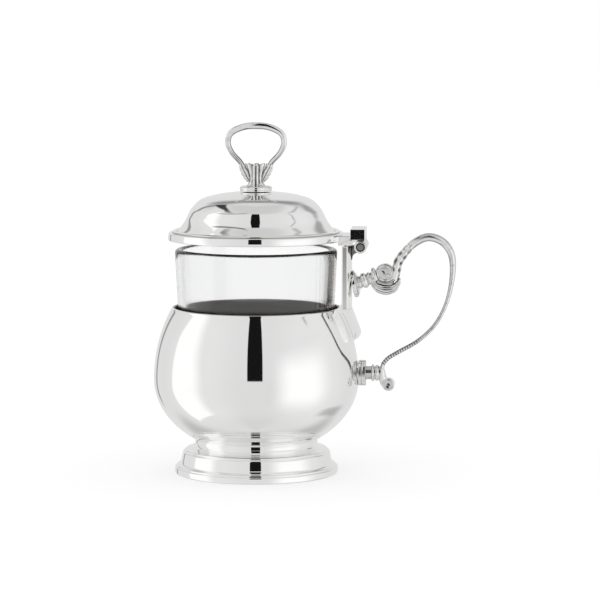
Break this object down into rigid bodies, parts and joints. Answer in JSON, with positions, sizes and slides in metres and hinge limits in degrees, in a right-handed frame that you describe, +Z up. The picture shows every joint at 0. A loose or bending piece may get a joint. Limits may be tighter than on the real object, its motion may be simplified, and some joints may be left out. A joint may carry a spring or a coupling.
{
  "type": "mustard pot",
  "caption": "Small bulbous silver pot on a stepped foot, with a clear glass liner, a domed lid on a hinge post, a finger-loop finial and an ear-shaped scroll handle.",
  "frame": {"origin": "on the surface that the pot stands on, under the middle of its outline from above, handle included; the pot's own axis is 15.4 mm from it towards -X", "axes": "+Z up along the pot's axis; +X towards the handle and the hinge; +Y along the hinge pin"},
  "size_m": [0.096, 0.0652, 0.1115],
  "materials": {
    "silver_sheet": "mirror-polished silver plate",
    "silver_casting": "polished cast silver plate",
    "hinge_steel": "dull steel",
    "liner_glass": "clear pressed glass"
  },
  "bodies": {
    "pot": {"foot_wire": "silver_sheet", "foot": "silver_sheet", "collar_bead": "silver_sheet", "bowl": "silver_sheet", "post_saddle": "silver_sheet", "hinge_post": "silver_sheet", "post_knuckle": "silver_casting", "hinge_pin": "hinge_steel", "upper_rosette": "silver_casting", "upper_stem": "silver_casting", "handle_scroll": "silver_casting", "handle_arm": "silver_casting", "lower_washer": "silver_casting", "lower_flange": "silver_casting", "lower_stem": "silver_casting", "tail_scroll": "silver_casting"},
    "liner": {"glass_liner": "liner_glass"},
    "lid": {"lid_flange": "silver_sheet", "lid_dome": "silver_sheet", "lid_bead": "silver_sheet", "lid_leaf": "silver_casting", "lid_knuckle_front": "silver_casting", "lid_knuckle_back": "silver_casting", "thumb_block": "silver_casting", "finial_base": "silver_casting", "finial_calyx": "silver_casting", "finial_loop": "silver_casting", "finial_nut": "hinge_steel"}
  },
  "joints": [
    {"name": "lid_hinge", "type": "hinge", "parent": "pot", "child": "lid", "pos_m": [0.018, 0, 0.07269], "axis": [0, 1, 0], "range_deg": [0, 120]},
    {"name": "liner_lift", "type": "slide", "parent": "pot", "child": "liner", "axis": [0, 0, 1], "range_m": [0, 0.0024]}
  ]
}
